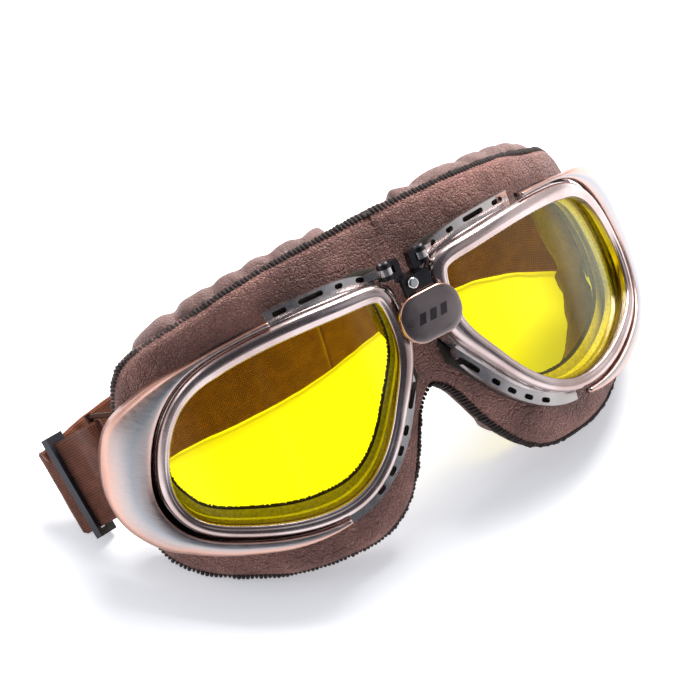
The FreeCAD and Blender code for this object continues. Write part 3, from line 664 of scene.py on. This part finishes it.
def make_plate():
    """The bridge plate: a crowned rounded rectangle with a copper-coloured side face."""
    wide, tall, corner = PLATE_HALF_WIDTH, 7.1, 6.4
    rings = [(0.0, 8.6), (0.0, 7.5), (0.1, 7.0), (0.3, 6.78), (0.55, 6.68), (0.9, 6.6),
             (1.3, 6.52), (1.7, 6.46)]
    for k in range(1, 9):
        rings.append((1.7 + 4.4 * k / 8, 6.46 - 0.2 * math.sin(math.pi / 2 * k / 8)))
    points = []
    per_corner = 10
    for inset, depth in rings:
        r = max(corner - inset, 0.3)
        w, t = wide - inset, tall - inset
        for quarter, (sx, sz) in enumerate(((1, 1), (-1, 1), (-1, -1), (1, -1))):
            for k in range(per_corner):
                angle = math.pi / 2 * (quarter + k / (per_corner - 1))
                x = sx * (w - r) + r * math.cos(angle)
                z = sz * (t - r) + r * math.sin(angle)
                points.append(from_goggles(x, depth + plate_sag(x) - 0.05, z))
    around = 4 * per_corner
    faces = grid_faces(len(rings), around, False, True)
    plate = new_piece("bridge_plate", points, faces, BRONZE, "bridge")
    plate.data.materials.append(COPPER_EDGE)
    for polygon in plate.data.polygons:
        if polygon.index < 3 * around:  # between the first four rings
            polygon.material_index = 1
    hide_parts("bridge_cover")


def make_plate_grooves():
    """Three plain slanted grooves across the plate, without any mark."""
    points, faces = [], []
    for start in (-5.2, -1.6, 2.0):
        first = len(points)
        for across, up in ((0.0, -1.5), (2.1, -1.5), (3.2, 1.5), (1.1, 1.5)):
            x = start + across
            for lift in (0.03, -0.3):
                points.append(from_goggles(x, 6.2 + plate_sag(x) - lift, up))
        box = [(0, 2, 4, 6), (1, 7, 5, 3)]
        box += [(k, (k + 1) % 8, (k + 3) % 8, (k + 2) % 8) for k in (0, 2, 4, 6)]
        faces += [tuple(first + i for i in f) for f in box]
    grooves = new_piece("bridge_plate_grooves", points, faces, DARK_STEEL, "bridge",
                        smooth=False)


make_plate()
make_plate_grooves()


# ---------------------------------------------------------------- leather mask

LEATHER_FRONT = 11.6  # depth of the leather's front
SEAM_DEPTH = LEATHER_FRONT + 2.1
RIM_OVERLAP = 1.7  # how far the leather goes under the rim
SWELL = 0.9  # of the leather between rim and seam
ROLL = 2.2  # of its edge towards the back
STRAP_BULGE = 1.6  # towards the front, where the strap passes behind


def ring_angles(count):
    return [2 * math.pi * k / count for k in range(count)]


def strap_side(angle):
    """1 where the strap passes behind the mask's outer edge, 0 elsewhere."""
    if angle >= math.pi:
        angle -= 2 * math.pi
    return math.exp(-((angle - 0.05) / 0.30) ** 2)


def mask_point(side, angle, across, lift=0.0):
    """A point of the mask, from its inner edge (0) to the seam (1); lift is towards the front."""
    inner = rim_outline.towards(angle)
    ray = inner - np.array(MIDDLE)
    inner = inner - ray / np.linalg.norm(ray) * RIM_OVERLAP
    seam = seam_outline.towards(angle)
    x, z = inner + (seam - inner) * across
    full = math.sin(math.pi * min(1.0, across * 1.02)) ** 0.7
    wide = min(1.0, np.linalg.norm(seam - inner) / 14.0)
    roll = ROLL * max(0.0, (across - 0.84) / 0.16) ** 2
    over_strap = STRAP_BULGE * strap_side(angle) * across ** 2
    depth = LEATHER_FRONT - SWELL * full * wide + roll - over_strap - lift
    middle = 0.0  # the x at which this layer meets the middle plane
    for _ in range(6):
        middle = layer(middle, depth) * math.tan(WRAP)
    if x < middle:
        depth += 0.1 * (middle - x)
        x = middle
    return on_layer(side, x, depth, z)


def leather_wave(point):
    """Slow undulation of the hide, in metres."""
    a = noise.noise(point * 55.0)
    b = noise.noise(point * 140.0 + Vector((3.1, 0.7, 9.2)))
    return 0.0007 * a + 0.00025 * b


FORWARD = Vector((0.0, -math.cos(LEAN), math.sin(LEAN)))
VALLEY_SLOPE, VALLEY_ROUNDING, VALLEY_REACH = 0.26, 6.0, 16.0
AT_MIDDLE = 0.00012  # nearer to the middle plane than this counts as on it, in metres


def clamp_to_middle(side, point):
    """Keeps a point on its own side of the middle plane and rounds the valley there."""
    apart = max(point.x * side, 0.0) / MM
    point.x = apart * side * MM
    lift = VALLEY_SLOPE * (math.hypot(apart, VALLEY_ROUNDING) - apart)
    return point + FORWARD * lift * math.exp(-((apart / VALLEY_REACH) ** 2)) * MM


def rest_on_floor(piece, side=0):
    """Flattens what would sink into the floor, and what would cross the middle plane."""
    for vertex in piece.data.vertices:
        vertex.co.z = max(vertex.co.z, 0.0)
        if side and vertex.co.x * side < AT_MIDDLE:
            vertex.co.x = 0.0
    piece.data.set_sharp_from_angle(angle=math.radians(50.0))


def make_mask(name, side):
    steps = 16
    points = []
    angles = ring_angles(300)
    for angle in angles:
        for k in range(steps + 1):
            points.append(clamp_to_middle(side, mask_point(side, angle, k / steps)))
        points.append(clamp_to_middle(side, mask_point(side, angle, 1.0, -1.7)))
        for k in (steps, steps // 2, 0):
            points.append(clamp_to_middle(side, mask_point(side, angle, k / steps * 0.97, -1.9)))
    across = steps + 5
    faces = grid_faces(len(angles), across, True, True)
    mask = new_piece(name + "_mask", points, faces, LEATHER, None)
    for vertex in mask.data.vertices:
        vertex.co += vertex.normal * leather_wave(vertex.co)
    rest_on_floor(mask, side)
    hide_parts(name + "_leather")
    return mask


masks = {eye: make_mask(eye, way_out) for eye, way_out in SIDES.items()}


def make_nose_panel():
    """The leather over the nose, between the two eye panels."""
    rows, across = 30, 13
    top, bottom, half = 29.6, -19.5, 6.4
    points = []
    for layer_depth in (0.0, 1.6):
        for r in range(rows):
            z = top - (top - bottom) * r / (rows - 1)
            for k in range(across):
                x = -half + 2 * half * k / (across - 1)
                arch = 0.9 * (1 - (x / half) ** 2)
                y = 25.6 - arch + layer_depth + 0.002 * z * z
                points.append(from_goggles(x, y, z))
    front = grid_faces(rows, across, False, False)
    base = rows * across
    faces = front + [tuple(base + i for i in reversed(f)) for f in front]
    rim_loop = list(range(across))
    rim_loop += [r * across + across - 1 for r in range(1, rows)]
    rim_loop += [(rows - 1) * across + k for k in range(across - 2, -1, -1)]
    rim_loop += [r * across for r in range(rows - 2, 0, -1)]
    for a, b in zip(rim_loop, rim_loop[1:] + rim_loop[:1]):
        faces.append((a, b, base + b, base + a))
    panel = new_piece("nose_panel", points, faces, LEATHER, "bridge")
    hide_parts("nose_leather")


make_nose_panel()


# ---------------------------------------------------------------- overlocked seam

STITCH_SPACING = 1.2


def thread_loop(centre, out, back, along, points, faces, size):
    """One overlock stitch: a short thread hugging the leather's edge from front to back."""
    last, sides = 6, 6
    path = []
    for k in range(last + 1):
        angle = math.pi * k / last
        path.append(centre + out * (math.sin(angle) * 1.25 - 1.25) * MM
                    - back * math.cos(angle) * 1.2 * MM + along * (k / last - 0.5) * 0.9 * MM)
    first = len(points)
    for k, place in enumerate(path):
        ahead = (path[min(k + 1, last)] - path[max(k - 1, 0)]).normalized()
        one = ahead.cross(along).normalized()
        two = ahead.cross(one)
        thin = size * (0.6 if k in (0, last) else 1.0)
        for n in range(sides):
            turn = 2 * math.pi * n / sides
            points.append(place + (one * math.cos(turn) + two * math.sin(turn)) * thin)
    for f in grid_faces(last + 1, sides, False, True):
        faces.append(tuple(first + i for i in f))


def make_stitching(name, side):
    count = int(seam_outline.length() / STITCH_SPACING)
    depth = SEAM_DEPTH
    points, faces = [], []
    for k, share in enumerate(seam_outline.even(count)):
        x, z = seam_outline.at(share)[0]
        ahead_x, ahead_z = seam_outline.at(share + 0.002)[0]
        out_x, out_z = seam_outline.offset(share, 1.0)
        centre = on_layer(side, x, depth, z)
        if centre.x * side < -0.6 * MM:
            continue
        centre = clamp_to_middle(side, centre)
        out = (on_layer(side, out_x, depth, out_z) - centre).normalized()
        back = (on_layer(side, x, depth + 1, z) - centre).normalized()
        along = (on_layer(side, ahead_x, depth, ahead_z) - centre).normalized()
        wobble = noise.noise(Vector((k * 0.7, side, 0.3)))
        along = (along + out * 0.5 * noise.noise(Vector((k * 0.9, side, 4.3)))).normalized()
        angle = math.atan2(z - MIDDLE[1], x - MIDDLE[0]) % (2 * math.pi)
        forward = back * (-STRAP_BULGE * strap_side(angle)) * MM
        thread_loop(centre + out * (0.25 * wobble + 0.1) * MM + forward, out, back, along,
                    points, faces, (0.52 + 0.2 * wobble) * MM)
    seam = new_piece(name + "_seam_thread", points, faces, THREAD, None)
    rest_on_floor(seam)
    return seam


seams = {eye: make_stitching(eye, way_out) for eye, way_out in SIDES.items()}


# ---------------------------------------------------------------- padding

PAD_FROM_MIDDLE = 12.4
# Round the pad's section: share of the way from the eye opening to the outer edge, and depth.
PAD_SECTION = [
    (0.80, 14.0), (0.97, 15.2), (1.02, 17.6), (1.02, 20.2), (0.96, 22.4), (0.80, 23.9),
    (0.56, 24.4), (0.34, 23.8), (0.22, 22.0), (0.18, 19.0), (0.18, 16.0), (0.30, 14.2),
    (0.50, 13.8),
]


def make_pad(name, side):
    """The gathered padding behind the mask, swollen and settled by a cloth simulation."""
    angles = ring_angles(170)
    points = []
    for angle in angles:
        inner, outer = eye_outline.towards(angle), pad_outline.towards(angle)
        for share, depth in PAD_SECTION:
            x, z = inner + (outer - inner) * share
            point = on_layer(side, x, depth, z)
            point.x = side * max(point.x * side, PAD_FROM_MIDDLE * MM)
            points.append(point)
    faces = grid_faces(len(angles), len(PAD_SECTION), True, True)
    pad = new_piece(name + "_padding", points, faces, LINING, None)
    swell_cloth(pad, 3.2, 2.4)
    gather(pad, side)
    add_subdivision(pad)
    rest_on_floor(pad)
    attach(pad, name + "_eye")
    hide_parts(name + "_cushion")


def swell_cloth(piece, pressure, cap):
    """Remeshes the form and lets pressure fill it, no point moving further than cap (mm)."""
    remesh = piece.modifiers.new("Even", "REMESH")
    remesh.mode = "VOXEL"
    remesh.voxel_size = 2.1 * MM
    apply_modifiers(piece)
    before = np.array([v.co for v in piece.data.vertices])
    cloth = piece.modifiers.new("Fill", "CLOTH")
    cloth.settings.use_pressure = True
    cloth.settings.uniform_pressure_force = pressure
    cloth.settings.effector_weights.gravity = 0.0
    cloth.settings.tension_stiffness = 20
    cloth.settings.compression_stiffness = 20
    cloth.settings.bending_stiffness = 0.4
    last = 20
    cloth.point_cache.frame_start = 1
    cloth.point_cache.frame_end = last
    for step in range(1, last + 1):
        bpy.context.scene.frame_set(step)
    apply_modifiers(piece)
    after = np.array([v.co for v in piece.data.vertices])
    move = after - before
    far = np.linalg.norm(move, axis=1)
    keep = np.minimum(1.0, cap * MM / np.maximum(far, 1e-9))
    settled = before + move * keep[:, None]
    for vertex, place in zip(piece.data.vertices, settled):
        vertex.co = place
    bpy.context.scene.frame_set(1)


def apply_modifiers(piece):
    graph = bpy.context.evaluated_depsgraph_get()
    mesh = bpy.data.meshes.new_from_object(piece.evaluated_get(graph))
    old = piece.data
    piece.modifiers.clear()
    piece.data = mesh
    bpy.data.meshes.remove(old)
    mesh.shade_smooth()


def add_subdivision(piece):
    modifier = piece.modifiers.new("Smooth", "SUBSURF")
    modifier.levels = 1
    modifier.render_levels = 1
    apply_modifiers(piece)


PUFFS_ROUND = 26
PUFF_HEIGHT, CREASE_DEPTH, WRINKLE = 0.0023, 0.0014, 0.0004  # metres


def gather(pad, side):
    """Puffs with tight creases between them, larger on the faces that look away from the eye."""
    middle = on_layer(side, MIDDLE[0], 18.0, MIDDLE[1])
    up = (from_eye(side, MIDDLE[0], 0.0, 1.0) - from_eye(side, MIDDLE[0], 0.0, 0.0)).normalized()
    out = (from_eye(side, 1.0, 0.0, 0.0) - from_eye(side, 0.0, 0.0, 0.0)).normalized()
    for vertex in pad.data.vertices:
        p = vertex.co
        ray = p - middle
        turn = math.atan2(ray.dot(up), ray.dot(out))
        phase = turn * PUFFS_ROUND / 2 + 2.6 * noise.noise(p * 22.0)
        puff = 1.0 - (1.0 - abs(math.sin(phase))) ** 3
        small = noise.noise(p * 170.0)
        outwards = min(1.0, max(0.0, 0.6 + vertex.normal.dot(ray.normalized())))
        swell = outwards * (puff * PUFF_HEIGHT - CREASE_DEPTH)
        vertex.co += vertex.normal * (swell + small * WRINKLE)


for eye, way_out in SIDES.items():
    make_pad(eye, way_out)


def make_nose_pad():
    """The small pillow behind the nose leather."""
    points = []
    rows, around = 14, 20
    for r in range(rows):
        share = r / (rows - 1)
        z = 15.0 - 26.0 * share
        grow = math.sin(math.pi * (0.08 + 0.84 * share)) ** 0.5
        for k in range(around):
            angle = 2 * math.pi * k / around
            cx, cy = math.cos(angle), math.sin(angle)
            x = 5.2 * grow * math.copysign(abs(cx) ** 0.7, cx)
            y = 33.0 + 4.6 * grow * math.copysign(abs(cy) ** 0.7, cy)
            points.append(from_goggles(x, y, z))
    faces = grid_faces(rows, around, False, True)
    pad = new_piece("nose_padding", points, faces, LINING, None)
    swell_cloth(pad, 3.0, 1.5)
    add_subdivision(pad)
    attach(pad, "bridge")
    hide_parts("nose_cushion")


make_nose_pad()

for eye, way_out in SIDES.items():
    for item in (masks[eye], seams[eye]):
        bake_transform(item)


# ---------------------------------------------------------------- straps

SLIDER_AT = Vector((91.0, 75.0, -14.8))
RUN = Vector((0.453, 0.856, -0.252)).normalized()
WIDE = Vector((0.045, 0.257, 0.965))
OUT = RUN.cross(WIDE).normalized()
WIDE = OUT.cross(RUN).normalized()
STRAP_WIDTH = 27.0
STRAP_THICK = 1.4


def strap_point(side, along, out, across):
    """along the run, out from the head and across the width, from the slider's middle."""
    place = SLIDER_AT + RUN * along + OUT * out + WIDE * across
    return from_goggles(place.x * side, place.y, place.z)


def band(name, centres, outs, material, body):
    """Webbing with thinner selvedges.

    Each row has a function in centres, for its place, and one in outs, for the way its face looks;
    both take the way across, from -0.5 to 0.5.
    """
    rows = len(centres)
    width_points = 40
    shares = [-0.5 + k / width_points for k in range(width_points + 1)]
    ring = []
    for face, ways in ((1, shares), (-1, reversed(shares))):
        for w in ways:
            edge = 1 - max(0.0, (abs(w) - 0.47) / 0.03) ** 2
            ring.append((w, face * STRAP_THICK / 2 * (0.35 + 0.65 * max(edge, 0.0) ** 0.5)))
    points, uvs = [], []
    run = 0.0
    for r in range(rows):
        if r:
            run += (centres[r](0) - centres[r - 1](0)).length
        for w, t in ring:
            points.append(centres[r](w) + outs[r](w) * t * MM)
            uvs.append((run, w * STRAP_WIDTH * MM))
    faces = grid_faces(rows, len(ring), False, True)
    return new_piece(name, points, faces, material, body, uvs)


def strap_from_path(name, side, path, wave):
    """A band across the strap's frame along a path of (along, out) pairs, rippled by the wave."""
    places = [Vector((a, o, 0)) for a, o in path]
    centres, outs = [], []
    for k, place in enumerate(places):
        ahead = (places[min(k + 1, len(places) - 1)] - places[max(k - 1, 0)]).normalized()
        normal = Vector((-ahead.y, ahead.x, 0))
        ripple = wave * math.sin(k * 1.9)

        def centre(w, place=place, normal=normal, ripple=ripple):
            bow = ripple * math.sin(w * 9.0)
            return strap_point(side, place.x + normal.x * bow, place.y + normal.y * bow,
                               w * STRAP_WIDTH)

        def out(w, place=place, normal=normal):
            a = strap_point(side, place.x, place.y, w * STRAP_WIDTH)
            b = strap_point(side, place.x + normal.x, place.y + normal.y, w * STRAP_WIDTH)
            return (b - a).normalized()

        centres.append(centre)
        outs.append(out)
    return band(name, centres, outs, WEB, name.split("_")[0] + "_eye")


def arc(centre, radius, start, end, count):
    """Points (along, out) on an arc; angles in degrees, counted from along towards out."""
    found = []
    for k in range(count):
        angle = math.radians(start + (end - start) * k / (count - 1))
        found.append((centre[0] + radius * math.cos(angle), centre[1] + radius * math.sin(angle)))
    return found


def smooth_between(first, last, count):
    """Points (along, out) between two others, level at both ends."""
    (a0, o0), (a1, o1) = first, last
    found = []
    for k in range(1, count):
        share = k / count
        ease = share * share * (3 - 2 * share)
        found.append((a0 + (a1 - a0) * share, o0 + (o1 - o0) * ease))
    return found


def side_strap_path():
    """From the inner layer's end, forward round the frame's bar and back out past the slider."""
    bar_at, bar_out, bar_loop = -17.5, 1.0, 2.0
    apart = 0.82  # each layer's middle, from the middle between the two
    close_at, fold_at, fold_radius = -7.5, 5.6, 1.7
    inner = [(a, -apart) for a in (1.6, 0.0, -2.5, -5.0, close_at)]
    inner += smooth_between((close_at, -apart), (bar_at, bar_out - bar_loop), 7)
    loop = arc((bar_at, bar_out), bar_loop, 270, 90, 13)
    outer = smooth_between((bar_at, bar_out + bar_loop), (close_at, apart), 7)
    outer += [(a, apart) for a in (close_at, -5.0, -2.5, 0.0, 2.5, fold_at)]
    fold = arc((fold_at, apart - fold_radius), fold_radius, 90, -60, 12)[1:]
    return inner + loop + outer + fold


# The long run's lower edge on the floor plan, and how far its width leans back, in degrees.
STRAP_ROUTE = [
    (-88.4, 43.2, 52.0), (-83.0, 45.2, 48.0), (-75.0, 48.6, 40.0), (-66.0, 51.6, 32.0),
    (-54.0, 53.2, 26.0), (-36.0, 52.6, 22.0), (-18.0, 52.4, 21.0), (0.0, 54.2, 21.0),
    (18.0, 58.0, 22.0), (36.0, 60.2, 22.0), (54.0, 59.6, 24.0), (67.0, 56.0, 30.0),
    (76.0, 50.8, 39.0), (83.0, 46.2, 48.0), (88.4, 43.2, 52.0),
]


def route_at(share):
    """Place on the floor plan and lean of the long run, at a share of its rows."""
    last = len(STRAP_ROUTE) - 1
    u = share * last
    i = min(int(u), last - 1)
    t = u - i
    a, b, c, d = (np.array(STRAP_ROUTE[min(max(i + step, 0), last)]) for step in (-1, 0, 1, 2))
    return 0.5 * (2 * b + (c - a) * t + (2 * a - 5 * b + 4 * c - d) * t ** 2
                  + (3 * b - a - 3 * c + d) * t ** 3)


REAR_EDGE_UP = 0.8575  # the lower edge's height above the origin


def make_rear_band(name, first, last):
    """The long run of the strap between two shares of the route, slightly creased."""
    rows = 90
    centres, outs = [], []
    for r in range(rows):
        share = first + (last - first) * r / (rows - 1)
        x, y, lean = route_at(share)
        nx, ny, _ = route_at(min(share + 0.004, 1.0))
        px, py, _ = route_at(max(share - 0.004, 0.0))
        ahead = Vector((nx - px, ny - py, 0)).normalized()
        back = Vector((-ahead.y, ahead.x, 0))
        tilt = math.radians(lean)
        up = Vector((0, 0, math.cos(tilt))) + back * math.sin(tilt)
        face = ahead.cross(up).normalized()

        def centre(w, x=x, y=y, up=up, face=face, share=share):
            high = (w + 0.5) * STRAP_WIDTH
            fade = min(1.0, 8 * share, 8 * (1 - share))
            crease = 0.5 * noise.noise(Vector((share * 26.0, w * 1.3, 2.0))) * fade
            crease += 0.35 * noise.noise(Vector((share * 60.0 + w * 3.0, w * 0.9, 7.0))) * fade
            return (Vector((x, y - SHIFT, REAR_EDGE_UP)) + up * high + face * crease) * MM

        centres.append(centre)
        outs.append(lambda w, face=face: face)
    # The rear run takes the lighter copy of the elastic, as painted light.
    return band(name, centres, outs, LIT_REAR_WEB, None)


for eye, way_out in SIDES.items():
    side_strap = strap_from_path(eye + "_side_webbing", way_out, side_strap_path(), wave=0.12)
    rest_on_floor(side_strap)
    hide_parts(eye + "_side_strap")

left_band = make_rear_band("left_rear_webbing", 0.0, 0.5)
right_band = make_rear_band("right_rear_webbing", 1.0, 0.5)
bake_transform(left_band)
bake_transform(right_band)
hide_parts("rear_strap")


# ---------------------------------------------------------------- floor, light and camera

def make_floor():
    mesh = bpy.data.meshes.new("floor")
    half = 3.0
    corners = [(-half, -half, 0), (half, -half, 0), (half, half, 0), (-half, half, 0)]
    mesh.from_pydata(corners, [], [(0, 1, 2, 3)])
    floor = bpy.data.objects.new("floor", mesh)
    bpy.context.collection.objects.link(floor)
    made = material_with("floor_white", Roughness=0.75, Specular_IOR_Level=0.1,
                         Base_Color=(0.93, 0.94, 0.96, 1), Emission_Color=(0.92, 0.95, 1.0, 1),
                         Emission_Strength=0.42)[0]
    mesh.materials.append(made)
    floor.location.z = cad_box[0][2] - 0.0001


def add_light(name, place, target, size, power, colour):
    """A square light at a place, turned to its target."""
    data = bpy.data.lights.new(name, "AREA")
    data.shape = "RECTANGLE"
    data.size = data.size_y = size
    data.energy = power
    data.color = colour
    light = bpy.data.objects.new(name, data)
    bpy.context.collection.objects.link(light)
    light.location = place
    light.rotation_euler = (Vector(target) - Vector(place)).to_track_quat("-Z", "Y").to_euler()


make_floor()
add_light("key", (0.5, 0.45, 0.85), (0, 0, 0), 0.6, 17.0, (1.0, 0.985, 0.97))
add_light("left_window", (-0.9, 0.35, 0.6), (0, 0, 0.02), 0.5, 1.5, (0.93, 0.96, 1.0))

# A white room with one soft dark side in front, so that polished metal shows its shape.
world = bpy.context.scene.world or bpy.data.worlds.new("World")
bpy.context.scene.world = world
world.use_nodes = True
sky = world.node_tree
background = sky.nodes["Background"]
background.inputs["Strength"].default_value = 0.9
towards = coordinates(sky, kind="Generated")
facing = add_node(sky, "ShaderNodeVectorMath", [(0, towards)], operation="DOT_PRODUCT")
facing.inputs[1].default_value = (-0.41, -0.56, 0.72)
panels = span(sky, clouds(sky, towards, 2.6, 1.0), 0.35, 0.65, -0.26, 0.26)
shade = ramp(sky, combined(sky, "ADD", facing.outputs["Value"], panels), [
    (0.26, (1.0, 1.0, 1.0)), (0.56, (0.42, 0.45, 0.50)), (0.82, (0.09, 0.095, 0.11))])
sky.links.new(shade, background.inputs["Color"])

azimuth, elevation = math.radians(-36.0), math.radians(46.0)
toward_camera = Vector((math.sin(azimuth) * math.cos(elevation),
                        -math.cos(azimuth) * math.cos(elevation), math.sin(elevation)))
lens = bpy.data.cameras.new("camera")
lens.sensor_fit = "HORIZONTAL"
lens.angle = math.radians(12.863)
lens.clip_start = 0.05
camera = bpy.data.objects.new("camera", lens)
bpy.context.collection.objects.link(camera)
camera.location = Vector((-374.4, -470.9 - SHIFT, 677.1)) * MM
camera.rotation_euler = (-toward_camera).to_track_quat("-Z", "Y").to_euler()
bpy.context.scene.camera = camera
bpy.context.scene.view_settings.view_transform = "Standard"
